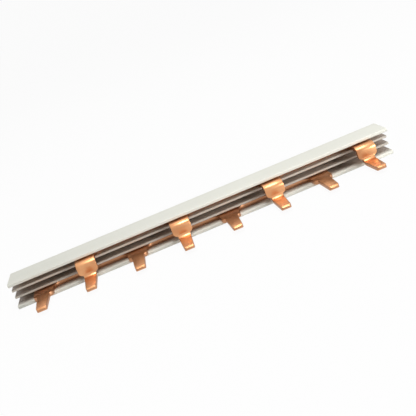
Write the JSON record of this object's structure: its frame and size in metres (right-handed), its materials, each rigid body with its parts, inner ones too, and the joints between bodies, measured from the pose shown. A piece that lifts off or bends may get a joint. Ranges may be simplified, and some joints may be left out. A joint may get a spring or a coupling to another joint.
{
  "type": "comb busbar",
  "caption": "Pin-type comb busbar: interleaved copper combs held in a slotted plastic profile, to link circuit breakers mounted side by side.",
  "frame": {"origin": "middle of the bar's footprint: X at mid length, Y halfway between the pin tips and the housing's back, Z on the underside of the housing's bottom leg", "axes": "+X along the bar, -Y the way the pins point, +Z across the slots from the lower comb to the upper comb"},
  "size_m": [0.1454, 0.0264, 0.01],
  "materials": {
    "extruded_pvc": "satin light grey rigid plastic, as extruded",
    "stamped_copper": "bare copper sheet, satin, with bright rounded edges"
  },
  "bodies": {
    "root": {"housing": "extruded_pvc", "upper_comb": "stamped_copper", "lower_comb": "stamped_copper"}
  },
  "joints": []
}
